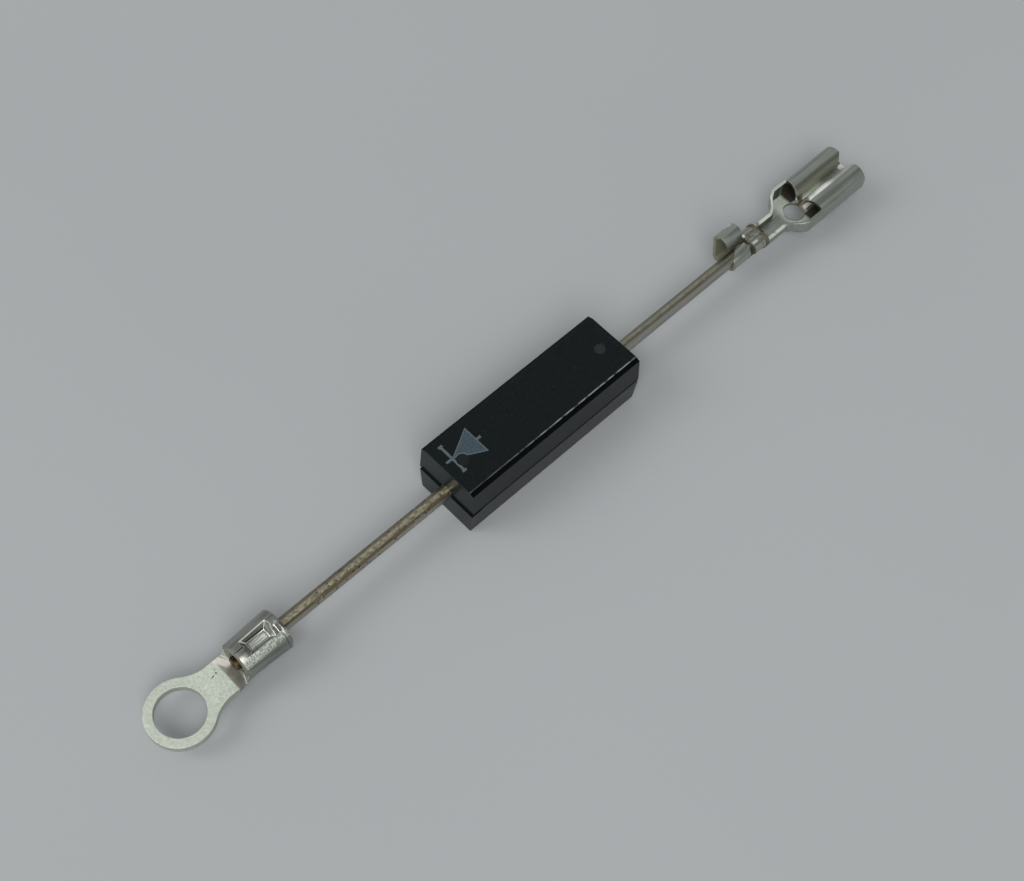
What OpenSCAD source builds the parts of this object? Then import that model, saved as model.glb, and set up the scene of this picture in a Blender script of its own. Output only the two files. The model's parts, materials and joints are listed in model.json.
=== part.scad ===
// High-voltage diode of a microwave oven: a moulded block with an axial lead at each end,
// one crimped into a ring terminal and the other into a receptacle for a flat tab.
// Millimetres. X runs along the leads, from the ring terminal to the receptacle. +Z is up,
// and the origin lies on the block's base, under the middle of the block.

/* [Moulding] */
// Length of the block at its parting line
body_l = 22; // [18:0.5:28]
// Width of the block at its parting line
body_w = 7.1; // [6.4:0.1:9]
// Height of the block
body_h = 6.6; // [5.8:0.1:8]
// Height of the parting line, and of the leads, above the base
parting_h = 3.2; // [2.9:0.05:3.9]
// Draft of the long sides of the upper half, in degrees
upper_draft = 1.5; // [0.5:0.5:6]
// Draft of the long sides of the lower half, in degrees
lower_draft = 4; // [1:0.5:8]
// Draft of the ends, in degrees
end_draft = 2; // [1:0.5:6]
// Width of the chamfer along the long upper edges
chamfer_w = 0.5; // [0.2:0.05:0.8]
// Height of the chamfer along the long upper edges
chamfer_h = 0.25; // [0.1:0.05:0.6]
// Break of the long lower edges
base_edge = 0.1; // [0.04:0.02:0.3]
// How far the upper half is out of line with the lower one, along the leads
mould_shift_x = 0.18; // [0.04:0.02:0.3]
// How far the upper half is out of line with the lower one, across the leads
mould_shift_y = 0.2; // [0.04:0.02:0.3]
// Diameter of the ejector pin marks on the top
pin_mark_d = 1.2; // [0.6:0.1:2]
// Depth of the ejector pin marks
pin_mark_deep = 0.08; // [0.04:0.02:0.3]
// Distance from the end of the block to the centre of an ejector pin mark
pin_mark_inset = 2.05; // [1.6:0.05:4]

/* [Leads] */
// Diameter of the lead wire
lead_d = 1.4; // [1:0.1:1.8]
// Bare length of the lead between the block and the ring terminal
cathode_reach = 20; // [10:0.5:40]
// Bare length of the lead between the block and the receptacle
anode_reach = 16.8; // [10:0.2:40]
// How far the lead stands out of the mouth of the ring terminal's barrel
lead_peek = 0.35; // [0.1:0.05:0.6]
// Bevel at the sheared end of a lead
lead_bevel = 0.12; // [0.04:0.02:0.3]
// Diameter of the nail head at the inner end of a lead
head_d = 2.8; // [2:0.1:3.6]
// Thickness of the nail head
head_t = 0.5; // [0.3:0.1:1]

/* [Silicon stack] */
// Number of silicon dice in series
die_count = 14; // [8:1:20]
// Side of a square die
die_w = 1.8; // [1.2:0.1:2.4]
// Thickness of a die
die_t = 0.28; // [0.2:0.02:0.36]
// Thickness of the solder on each side of a die
solder_t = 0.08; // [0.04:0.02:0.16]
// How far the solder stays inside the edge of the dice
solder_inset = 0.1; // [0.05:0.05:0.3]

/* [Ring terminal] */
// Diameter of the screw hole
ring_hole_d = 4.7; // [3.7:0.1:6.4]
// Width of the band round the screw hole
ring_band = 0.9; // [0.7:0.1:2]
// Thickness of the stamping
ring_t = 0.85; // [0.5:0.05:1]
// Width of the tongue between the ring and the barrel
tongue_w = 3.6; // [3:0.1:4.2]
// Radius of the hollow flanks between the ring and the tongue
flank_r = 4; // [1:0.5:8]
// Length of the tongue with parallel sides
tongue_l = 0.65; // [0.25:0.05:4]
// How much higher the tongue lies than the underside of the barrel
tongue_rise = 0.25; // [0.1:0.05:0.5]
// Length over which the flat tongue turns into the round barrel
scoop_l = 1.3; // [0.8:0.05:3]
// Length of the barrel
barrel_l = 4.9; // [4.2:0.1:7]
// Room round the lead at the mouth of the barrel
mouth_gap = 0.35; // [0.1:0.05:0.6]
// Depth over which the mouth closes on to the lead
mouth_l = 0.9; // [0.4:0.1:1.5]
// How much the barrel widens towards its lead end, on the radius
barrel_swell = 0.2; // [0.02:0.02:0.3]
// Bevel at the lead end of the barrel
barrel_bevel = 0.2; // [0.05:0.05:0.4]
// Length of the floor of the crimp pocket
pocket_l = 2.05; // [1:0.05:3]
// Width of the floor of the crimp pocket
pocket_w = 0.9; // [0.4:0.1:1.6]
// Depth of the crimp pocket
pocket_deep = 0.65; // [0.2:0.05:0.8]
// Lean of the walls of the crimp pocket, in degrees
pocket_lean = 36; // [10:2:50]
// Turn of the crimp pocket about the lead, in degrees
pocket_turn = 6; // [0:1:12]
// Length of the small die mark behind the crimp pocket
nick_l = 0.3; // [0.2:0.05:0.6]
// Depth of the small die mark
nick_deep = 0.2; // [0.1:0.05:0.4]
// Distance from the lead end of the barrel to the middle of the die mark
nick_inset = 0.75; // [0.5:0.05:0.9]
// Turn of the small die mark about the lead, in degrees
nick_turn = 18; // [0:1:24]
// Width of the seam along the top of the barrel
seam_w = 0.08; // [0.04:0.02:0.2]
// Depth of the seam
seam_deep = 0.2; // [0.06:0.02:0.4]

/* [Tab receptacle] */
// Width of the tab that the socket takes
tab_w = 4.75; // [2.8:0.05:6.35]
// Thickness of the tab
tab_t = 0.8; // [0.5:0.1:1]
// Play between the tab and the socket
tab_play = 0.05; // [0.02:0.01:0.2]
// Thickness of the sheet
sheet_t = 0.35; // [0.25:0.05:0.45]
// Length of the rolled sides of the socket
socket_l = 6.5; // [4:0.1:10]
// Gap between the two rolled sides
roll_gap = 0.3; // [0.1:0.05:0.8]
// How far the rear edges of the rolled sides run back towards the gap
roll_slant = 0.95; // [0.2:0.05:1.2]
// Straight length of a rolled edge above the tab
roll_tail = 0.15; // [0.05:0.05:0.5]
// Outside radius of the bends along the floor
bend_r = 0.6; // [0.5:0.05:0.8]
// Length of the notch that leads the tab in between the rolled sides
notch_l = 1.2; // [0.4:0.1:2.5]
// Width of that notch at its front
notch_w = 2.2; // [0.6:0.1:2.6]
// How far the floor stands out in front of the rolled sides
lip_l = 0.7; // [0.2:0.1:1.5]
// Height of the dimple that catches the hole in the tab
dimple_h = 0.18; // [0.06:0.02:0.24]
// Radius of the ball that presses the dimple
dimple_r = 1.2; // [0.8:0.1:2]
// Length of the open part between the flare and the rolled sides
window_l = 2.1; // [1.8:0.1:4]
// Height of the side walls of the open part
window_h = 2; // [1.4:0.1:2.4]
// Diameter of the hole in the floor of the open part
peep_d = 2.2; // [0.8:0.1:2.3]
// Distance from the rolled sides to the centre of that hole
peep_inset = 1.35; // [1.3:0.05:1.6]
// Length over which the neck flares out to the socket
flare_l = 2; // [1:0.1:4]
// Length of the neck
neck_l = 3; // [1.5:0.1:6]
// Room beside the lead in the neck
neck_play = 0.1; // [0.05:0.05:0.6]
// Height of the side walls of the neck
neck_h = 1.4; // [0.8:0.1:1.5]
// Length of the conductor crimp
crimp_l = 1.9; // [1:0.1:4]
// Radius of the rolled tips of the conductor crimp
crimp_roll_r = 0.7; // [0.5:0.05:0.9]
// How far the rolled tips press into each other
crimp_bite = 0.04; // [0.02:0.01:0.1]
// Length of the bell mouth at the front of the conductor crimp
bell_l = 0.3; // [0.1:0.05:0.8]
// How much wider the bell mouth is, on the radius
bell_step = 0.12; // [0.04:0.02:0.3]
// How far the lead stands out in front of the conductor crimp
lead_out = 0.6; // [0.2:0.1:1.2]
// Half the angle of the floor that joins the crimp and the wings, in degrees
cradle_half = 45; // [30:5:60]
// Gap between the conductor crimp and the insulation wings
wing_gap = 0.35; // [0.2:0.05:1]
// Length of the insulation wings
wing_l = 2.4; // [1.2:0.1:4]
// Distance from the lead axis to the outside of the foot of the tall wing
wing_foot = 1.9; // [1.7:0.05:2.6]
// Angle at which the low wing ends above the lead, in degrees
wing_wrap = 80; // [60:5:100]
// Straight height of the tall wing
wing_wall = 2.2; // [1.8:0.1:3]
// Lean of the tall wing away from the lead, in degrees
wing_lean = 10; // [0:1:15]
// Outside radius of the curl of the tall wing
wing_curl_r = 0.85; // [0.6:0.05:0.9]
// Gap between the tip of the tall wing and the top of the lead
wing_tip_gap = 0.1; // [0.05:0.05:0.4]
// How far the tall wing narrows towards its tip
wing_taper = 0.9; // [0.2:0.1:1.1]
// How far the low wing narrows across the lead
low_taper = 1.7; // [0.2:0.1:2]

/* [Hidden] */
$fn = 64;
// Sides of the rounds inside a loft
loft_fn = 32;
// Thickness of the slices that a loft joins
slice = 0.02;
// How far the scoop reaches into the wall of the barrel
scoop_sink = 0.3;
// How far a cut runs past the surface that it opens
past = 0.5;
// Corners of the wedge that cuts a bend out of its ring
bend_steps = 8;
// Lofts that follow one another along the flare
flare_steps = 3;

lead_r = lead_d / 2;
stack_l = die_count * die_t + (die_count + 1) * solder_t;
mould_shift = [mould_shift_x, mould_shift_y, 0] / 2;

// Ring terminal, measured from the centre of its hole
ring_r = ring_hole_d / 2 + ring_band;
tongue_half = tongue_w / 2;
flank_x = sqrt(pow(ring_r + flank_r, 2) - pow(tongue_half + flank_r, 2));
scoop_x = flank_x + tongue_l;
barrel_x = scoop_x + scoop_l;
mouth_r = lead_r + mouth_gap;
barrel_r = mouth_r + ring_t;
tongue_z = tongue_rise - barrel_r;
ring_x = -(body_l / 2 + cathode_reach + barrel_l + barrel_x);
cathode_lead_l = body_l / 2 + cathode_reach + barrel_l + lead_peek - stack_l / 2;

// Receptacle, measured from the lead end of its insulation wings
floor_z = -(lead_r + sheet_t);
crimp_x = wing_l + wing_gap;
neck_x = crimp_x + crimp_l;
flare_x = neck_x + neck_l;
window_x = flare_x + flare_l;
socket_x = window_x + window_l;
neck_w = lead_d + 2 * (neck_play + sheet_t);
socket_w = tab_w + tab_play + 2 * sheet_t;
roll_r = (socket_w - roll_gap) / 4;
tail_z = sheet_t + tab_t + tab_play;
roll_z = tail_z + roll_tail;
wing_tip_y = bend_r - 2 * wing_curl_r;
wing_tip_z = (lead_r + wing_tip_gap - floor_z - bend_r + wing_tip_y * sin(wing_lean)) / cos(wing_lean);
wing_top = floor_z + bend_r + wing_wall + wing_curl_r;
receptacle_x = body_l / 2 + anode_reach;
anode_lead_l = receptacle_x + neck_x + lead_out - stack_l / 2;

// A profile in Y and Z, drawn out along +X
module along_x(l) rotate([90, 0, 90]) linear_extrude(height = l) children();

// A profile in X and Z, drawn out to both sides of the XZ plane
module along_y(w) rotate([90, 0, 0]) linear_extrude(height = w, center = true) children();

// A shape and its mirror image across the given direction
module paired(direction) {
    children();
    mirror(direction) children();
}

// A bent strip of thickness t: the part of a ring of outside radius r between two angles
module bend(r, t, from, to) {
    reach = 2 * r;
    turn = (to - from) / bend_steps;
    intersection() {
        difference() {
            circle(r);
            circle(r - t);
        }
        polygon(concat([[0, 0]],
            [for (i = [0:bend_steps]) reach * [cos(from + i * turn), sin(from + i * turn)]]));
    }
}

// One half of the block, standing on its parting face, with drafted ends and sides
// and a chamfer along each long edge
module body_half(h, draft, edge_w, edge_h) {
    end_half = body_l / 2 - h * tan(end_draft);
    side_h = h - edge_h;
    side_half = body_w / 2 - side_h * tan(draft);
    intersection() {
        along_y(body_w) polygon([[-body_l / 2, 0], [body_l / 2, 0], [end_half, h], [-end_half, h]]);
        translate([-body_l / 2, 0, 0]) along_x(body_l) polygon([
            [-body_w / 2, 0], [body_w / 2, 0], [side_half, side_h], [side_half - edge_w, h],
            [-side_half + edge_w, h], [-side_half, side_h]]);
    }
}

module body_moulding() color("#24282a") difference() {
    translate([0, 0, parting_h]) {
        translate(mould_shift) body_half(body_h - parting_h, upper_draft, chamfer_w, chamfer_h);
        translate(-mould_shift) mirror([0, 0, 1]) body_half(parting_h, lower_draft, base_edge, base_edge);
    }
    cathode_wire();
    anode_wire();
    translate([-stack_l / 2, 0, parting_h]) along_x(stack_l) square(die_w, center = true);
    translate(mould_shift) paired([1, 0, 0])
        translate([body_l / 2 - pin_mark_inset, 0, body_h - pin_mark_deep])
            cylinder(d = pin_mark_d, h = pin_mark_deep + past);
}

// The alloyed stack: dice with a slightly smaller core of solder showing between them
module silicon_stack() color("#6d7076") translate([-stack_l / 2, 0, parting_h]) {
    along_x(stack_l) square(die_w - 2 * solder_inset, center = true);
    for (i = [0:die_count - 1])
        translate([solder_t + i * (die_t + solder_t), 0, 0]) along_x(die_t) square(die_w, center = true);
}

// A turned lead along +X, with its nail head at the start and a bevelled end
module lead_wire(l) rotate([0, 90, 0]) rotate_extrude() polygon([
    [0, 0], [head_d / 2, 0], [head_d / 2, head_t], [lead_r, head_t],
    [lead_r, l - lead_bevel], [lead_r - lead_bevel, l], [0, l]]);

module cathode_wire() translate([-stack_l / 2, 0, parting_h]) mirror([1, 0, 0]) lead_wire(cathode_lead_l);
module anode_wire() translate([stack_l / 2, 0, parting_h]) lead_wire(anode_lead_l);

module cathode_lead() color("#a39a7c") cathode_wire();
module anode_lead() color("#8f8c78") anode_wire();

// Outline of the ring and its tongue, with hollow flanks that run into both smoothly
module tongue_outline() {
    circle(ring_r);
    translate([0, -tongue_half]) square([scoop_x + slice, tongue_w]);
    paired([0, 1, 0]) difference() {
        polygon([[0, 0], [flank_x, tongue_half + flank_r], [flank_x, 0]]);
        translate([flank_x, tongue_half + flank_r]) circle(flank_r);
    }
}

// The scoop: the flat tongue on the left, lofted to the lower half of the barrel
module scoop() difference() {
    hull() {
        translate([scoop_x, -tongue_half, tongue_z]) cube([slice, tongue_w, ring_t]);
        translate([barrel_x, 0, 0]) along_x(scoop_sink) intersection() {
            circle(barrel_r - slice, $fn = loft_fn);
            translate([-barrel_r, -barrel_r]) square([2 * barrel_r, barrel_r]);
        }
    }
    hull() {
        translate([scoop_x - slice, -tongue_w, tongue_z + ring_t]) cube([slice, 2 * tongue_w, barrel_r]);
        translate([barrel_x, 0, 0]) along_x(scoop_sink + slice) circle(mouth_r, $fn = loft_fn);
    }
}

// A pocket pressed into the top of the barrel, with leaning walls
module die_pocket(l, w, deep) {
    rise = deep + past;
    lean = rise * tan(pocket_lean);
    intersection() {
        along_y(w + 2 * lean) polygon([[-l / 2, 0], [l / 2, 0], [l / 2 + lean, rise], [-l / 2 - lean, rise]]);
        translate([-l / 2 - lean, 0, 0]) along_x(l + 2 * lean)
            polygon([[-w / 2, 0], [w / 2, 0], [w / 2 + lean, rise], [-w / 2 - lean, rise]]);
    }
}

// The barrel, turned about the lead: tapered outside, closed on the lead inside, open at the mouth
module barrel() rotate([0, 90, 0]) rotate_extrude() polygon([
    [mouth_r, 0], [barrel_r, 0], [barrel_r + barrel_swell, barrel_l - barrel_bevel],
    [barrel_r + barrel_swell - barrel_bevel, barrel_l], [lead_r, barrel_l], [lead_r, mouth_l]]);

module ring_terminal() color("#c3cabd") translate([ring_x, 0, parting_h]) {
    difference() {
        translate([0, 0, tongue_z]) linear_extrude(height = ring_t) tongue_outline();
        translate([0, 0, tongue_z - past]) cylinder(d = ring_hole_d, h = ring_t + 2 * past);
    }
    scoop();
    translate([barrel_x, 0, 0]) difference() {
        barrel();
        rotate([pocket_turn, 0, 0]) translate([barrel_l / 2, 0, barrel_r - pocket_deep])
            die_pocket(pocket_l, pocket_w, pocket_deep);
        rotate([nick_turn, 0, 0]) translate([barrel_l - nick_inset, 0, barrel_r - nick_deep])
            die_pocket(nick_l, pocket_w, nick_deep);
        translate([-past, -seam_w / 2, barrel_r - seam_deep]) cube([barrel_l / 2 + past, seam_w, seam_deep + past]);
    }
}

// Open channel of the sheet: floor, rounded bends and upright walls
module channel(w, h) {
    translate([-w / 2 + bend_r, 0]) square([w - 2 * bend_r, sheet_t]);
    paired([1, 0, 0]) {
        translate([w / 2 - bend_r, bend_r]) bend(bend_r, sheet_t, 270, 360);
        translate([w / 2 - sheet_t, bend_r]) square([sheet_t, h - bend_r]);
    }
}

// Section of the rolled sides, which come down on to the tab
module roll_section() paired([1, 0, 0]) {
    translate([socket_w / 2 - roll_r, roll_z]) bend(roll_r, sheet_t, 0, 180);
    translate([roll_gap / 2, tail_z]) square([sheet_t, roll_tail]);
}

// The rolled sides, cut at the rear so that they run back towards the gap between them
module rolls() {
    reach = socket_w / 2 + past;
    intersection() {
        translate([-roll_slant, 0, 0]) along_x(socket_l + roll_slant) roll_section();
        linear_extrude(height = roll_z + roll_r + past) polygon([
            [-roll_slant, 0], [0, reach], [socket_l + past, reach], [socket_l + past, -reach], [0, -reach]]);
    }
}

// One slice of a lofted trough with rounded lower edges
module trough_slice(w, h, r) along_x(slice) {
    paired([1, 0, 0]) translate([w / 2 - r, r]) circle(r, $fn = loft_fn);
    translate([-w / 2, h - slice]) square([w, slice]);
}

// A trough lofted from the neck to the socket, easing in width and height over its length,
// with its floor and walls drawn in by the given skin
module flare_loft(start, l, skin) for (i = [0:flare_steps - 1]) hull() for (j = [i:i + 1]) {
    ease = (1 - cos(180 * j / flare_steps)) / 2;
    w = neck_w + ease * (socket_w - neck_w);
    h = neck_h + ease * (window_h - neck_h);
    translate([start + j * l / flare_steps, 0, skin]) trough_slice(w - 2 * skin, h, bend_r - skin);
}

// The flare: an outer trough less an inner one
module flare() difference() {
    flare_loft(0, flare_l - slice, 0);
    flare_loft(-slice, flare_l + slice, sheet_t);
}

// The rolled socket with its lead-in notch, floor lip and dimple
module socket() difference() {
    union() {
        along_x(socket_l) channel(socket_w, roll_z);
        rolls();
        translate([0, -socket_w / 2 + bend_r, 0]) cube([socket_l + lip_l, socket_w - 2 * bend_r, sheet_t]);
        intersection() {
            translate([socket_l / 2, 0, sheet_t + dimple_h - dimple_r]) sphere(dimple_r);
            translate([0, -socket_w / 2, sheet_t / 2]) cube([socket_l, socket_w, tab_t]);
        }
    }
    translate([socket_l / 2, 0, dimple_h - dimple_r]) sphere(dimple_r);
    translate([0, 0, sheet_t + tab_t / 2]) linear_extrude(height = roll_z + roll_r)
        polygon([[socket_l - notch_l, 0], [socket_l + slice, -notch_w / 2], [socket_l + slice, notch_w / 2]]);
}

// The conductor crimp: a round floor and two rolled tips that close over the lead
module crimp_section(grow) difference() {
    union() {
        circle(lead_r + sheet_t + grow);
        paired([1, 0, 0])
            translate([crimp_roll_r - crimp_bite, lead_r - sheet_t / 2]) circle(crimp_roll_r + grow);
    }
    circle(lead_r);
}

// Places a profile at the foot of the tall wing, with the lean of that wing
module at_wing() translate([wing_foot - bend_r, floor_z + bend_r]) rotate(-wing_lean) children();

// Profile of the tall wing from its foot to the top of its curl
module wing_section() {
    translate([0, floor_z]) square([wing_foot - bend_r, sheet_t]);
    at_wing() {
        bend(bend_r, sheet_t, 270 + wing_lean, 360);
        translate([bend_r - sheet_t, 0]) square([sheet_t, wing_wall]);
        translate([bend_r - wing_curl_r, wing_wall]) bend(wing_curl_r, sheet_t, 0, 90);
    }
}

// Profile of the tall wing from the top of its curl down to its tip
module wing_tip_section() at_wing() {
    translate([bend_r - wing_curl_r, wing_wall]) bend(wing_curl_r, sheet_t, 90, 180);
    translate([wing_tip_y, wing_tip_z]) square([sheet_t, wing_wall - wing_tip_z]);
}

// The insulation wings: the low one lies on the lead, the tall one stands open in a hook
module insulation_wings() {
    difference() {
        along_x(wing_l) bend(lead_r + sheet_t, sheet_t, wing_wrap, 270);
        translate([0, -lead_r, 0]) linear_extrude(height = lead_r + sheet_t + past)
            polygon([[-past, 0], [0, 0], [low_taper, lead_d], [-past, lead_d]]);
    }
    along_x(wing_l) wing_section();
    intersection() {
        along_x(wing_l) wing_tip_section();
        along_y(2 * (wing_foot + wing_wall))
            polygon([[0, wing_top], [wing_taper, 0], [wing_l, 0], [wing_l, wing_top]]);
    }
}

module tab_receptacle() color("#aeb8ab") translate([receptacle_x, 0, parting_h]) {
    insulation_wings();
    along_x(neck_x) bend(lead_r + sheet_t, sheet_t, 270 - cradle_half, 270 + cradle_half);
    translate([crimp_x, 0, 0]) {
        along_x(crimp_l) crimp_section(0);
        translate([crimp_l - bell_l, 0, 0]) along_x(bell_l) crimp_section(bell_step);
    }
    translate([0, 0, floor_z]) {
        translate([neck_x, 0, 0]) along_x(neck_l) channel(neck_w, neck_h);
        difference() {
            union() {
                translate([flare_x, 0, 0]) flare();
                translate([window_x - slice, 0, 0]) along_x(window_l + slice) channel(socket_w, window_h);
            }
            translate([socket_x - peep_inset, 0, -past]) cylinder(d = peep_d, h = sheet_t + 2 * past);
        }
        translate([socket_x, 0, 0]) socket();
    }
}

body_moulding();
silicon_stack();
cathode_lead();
anode_lead();
ring_terminal();
tab_receptacle();
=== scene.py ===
"""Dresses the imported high-voltage diode: rounded edges, worn finishes, a floor, soft light and a camera."""
import json
import math

import bmesh
import bpy
from bpy.props import FloatProperty, FloatVectorProperty, PointerProperty
from mathutils import Matrix, Vector

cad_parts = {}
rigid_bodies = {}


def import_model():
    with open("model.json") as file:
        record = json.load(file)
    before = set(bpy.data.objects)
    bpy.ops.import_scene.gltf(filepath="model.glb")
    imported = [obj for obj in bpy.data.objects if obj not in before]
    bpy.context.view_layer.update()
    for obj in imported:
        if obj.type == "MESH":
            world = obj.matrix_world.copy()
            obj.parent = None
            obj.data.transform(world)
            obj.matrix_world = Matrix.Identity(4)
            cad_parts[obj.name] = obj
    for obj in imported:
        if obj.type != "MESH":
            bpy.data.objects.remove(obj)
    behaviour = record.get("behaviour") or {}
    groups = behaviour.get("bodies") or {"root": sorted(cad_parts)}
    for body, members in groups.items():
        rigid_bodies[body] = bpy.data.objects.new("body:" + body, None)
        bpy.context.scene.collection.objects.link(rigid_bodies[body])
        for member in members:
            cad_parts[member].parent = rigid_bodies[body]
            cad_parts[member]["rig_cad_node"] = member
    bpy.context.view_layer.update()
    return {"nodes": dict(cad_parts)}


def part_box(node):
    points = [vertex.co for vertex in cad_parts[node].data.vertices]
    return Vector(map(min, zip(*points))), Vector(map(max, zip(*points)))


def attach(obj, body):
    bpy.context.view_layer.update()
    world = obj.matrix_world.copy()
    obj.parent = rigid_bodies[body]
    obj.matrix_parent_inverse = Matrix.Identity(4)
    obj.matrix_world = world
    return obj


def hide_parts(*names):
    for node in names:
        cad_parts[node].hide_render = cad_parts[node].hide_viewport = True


bl_info = {
    "name": "High-Voltage Diode",
    "version": (1, 0, 0),
    "blender": (4, 5, 0),
    "location": "3D View > Sidebar > Diode",
    "description": "Finishes a moulded high-voltage diode with a ring terminal and a tab receptacle",
    "category": "Object",
}

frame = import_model()
BODY = "root"
MM = 0.001

# Points this near are one point, shorter edges are closed up, and flatter turns are no edges
WELD = 1e-6
SHORT = 0.02 * MM
FLAT_ANGLE = math.radians(0.5)

BODY_LOW, BODY_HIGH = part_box("body_moulding")
CATHODE_LOW, CATHODE_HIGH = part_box("cathode_lead")
ANODE_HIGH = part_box("anode_lead")[1]
RING_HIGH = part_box("ring_terminal")[1]
AXIS_Z = (CATHODE_LOW.z + CATHODE_HIGH.z) / 2


class Wire:
    """One output of a shader node. Python's operators on it add Math nodes."""

    def __init__(self, finish, socket):
        self.finish = finish
        self.socket = socket

    def __add__(self, other):
        return self.finish.maths("ADD", self, other)

    def __sub__(self, other):
        return self.finish.maths("SUBTRACT", self, other)

    def __rsub__(self, other):
        return self.finish.maths("SUBTRACT", other, self)

    def __mul__(self, other):
        return self.finish.maths("MULTIPLY", self, other)

    def __abs__(self):
        return self.finish.maths("ABSOLUTE", self)

    __radd__ = __add__
    __rmul__ = __mul__

    def over(self, other):
        return self.finish.maths("MAXIMUM", self, other)

    def under(self, other):
        return self.finish.maths("MINIMUM", self, other)

    def ramp(self, low, high):
        """0 at low and below, 1 at high and above, and smooth between them."""
        return self.finish.node("ShaderNodeMapRange", {"interpolation_type": "SMOOTHSTEP"},
                                {"Value": self, "From Min": low, "From Max": high})


class Nodes:
    """A node tree, with one method that makes its nodes."""

    def __init__(self, tree):
        self.tree = tree
        tree.nodes.clear()

    def node(self, kind, settings=None, sockets=None, out=0):
        """Makes a node, sets its settings, then fills or links its sockets, and returns one output."""
        made = self.tree.nodes.new(kind)
        for name, value in (settings or {}).items():
            setattr(made, name, value)
        for name, value in (sockets or {}).items():
            if isinstance(value, Wire):
                self.tree.links.new(value.socket, made.inputs[name])
            else:
                made.inputs[name].default_value = value
        return Wire(self, made.outputs[out]) if len(made.outputs) else made

    def maths(self, operation, *values):
        return self.node("ShaderNodeMath", {"operation": operation}, dict(enumerate(values)))

    def blend(self, factor, first, second):
        """A colour that goes from the first to the second as the factor goes from 0 to 1."""
        return self.node("ShaderNodeMix", {"data_type": "RGBA"},
                         {0: factor, 6: self.colour(first), 7: self.colour(second)}, out=2)

    def colour(self, value):
        return value if isinstance(value, Wire) else (*value, 1.0)


class Finish(Nodes):
    """A material whose patterns are measured in millimetres from the part's origin."""

    def __init__(self, name):
        self.material = bpy.data.materials.new(name)
        self.material.use_nodes = True
        super().__init__(self.material.node_tree)
        self.place = self.node("ShaderNodeMapping", sockets={
            "Vector": self.node("ShaderNodeTexCoord", out="Object"), "Scale": (1 / MM,) * 3})
        self.x, self.y, self.z = (
            self.node("ShaderNodeSeparateXYZ", sockets={"Vector": self.place}, out=axis) for axis in "XYZ")

    def pattern(self, kind, scale, stretch, shift, **sockets):
        vector = self.node("ShaderNodeMapping", sockets={
            "Vector": self.place, "Scale": stretch, "Location": (shift, shift, shift)})
        return self.node(kind, sockets={"Vector": vector, "Scale": scale, **sockets})

    def noise(self, scale, stretch=(1, 1, 1), detail=2.0, shift=0.0):
        """Noise with the given number of lumps a millimetre, stretched along the axes."""
        return self.pattern("ShaderNodeTexNoise", scale, stretch, shift, Detail=detail)

    def dots(self, scale, size, stretch=(1, 1, 1), shift=0.0):
        """Soft round spots, that many a millimetre and that wide in parts of their spacing."""
        return self.pattern("ShaderNodeTexVoronoi", scale, stretch, shift).ramp(size, size * 0.5)

    def mark(self, name):
        """An attribute of the faces."""
        return self.node("ShaderNodeAttribute", {"attribute_name": name}, out="Fac")

    def reach(self, across, along):
        """Length of a step in plan."""
        step = self.node("ShaderNodeCombineXYZ", sockets={"X": across, "Y": along})
        return self.node("ShaderNodeVectorMath", {"operation": "LENGTH"}, {0: step}, out="Value")

    def away(self, point):
        """Distance from a point."""
        return self.node("ShaderNodeVectorMath", {"operation": "DISTANCE"}, {0: self.place, 1: point},
                         out="Value")

    def scratch(self, start, end, width):
        """A thin straight mark between two points of the plan."""
        run = Vector(end) - Vector(start)
        way = run.normalized()
        along = (self.x - start[0]) * way.x + (self.y - start[1]) * way.y
        across = abs((self.y - start[1]) * way.x - (self.x - start[0]) * way.y)
        past = (along - run.length).over(0.0 - along)
        return across.over(past).ramp(width, width * 0.4)

    def bump(self, height, depth, under=None):
        """A bump of the given depth in millimetres, laid over another bump if one is given."""
        sockets = {"Height": height, "Distance": depth * MM}
        if under:
            sockets["Normal"] = under
        return self.node("ShaderNodeBump", sockets=sockets)

    def surface(self, **sockets):
        """The Principled shader, with underscores for the spaces in its sockets' names."""
        shader = self.node("ShaderNodeBsdfPrincipled",
                           sockets={name.replace("_", " "): value for name, value in sockets.items()})
        self.node("ShaderNodeOutputMaterial", sockets={"Surface": shader})
        return self.material


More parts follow.
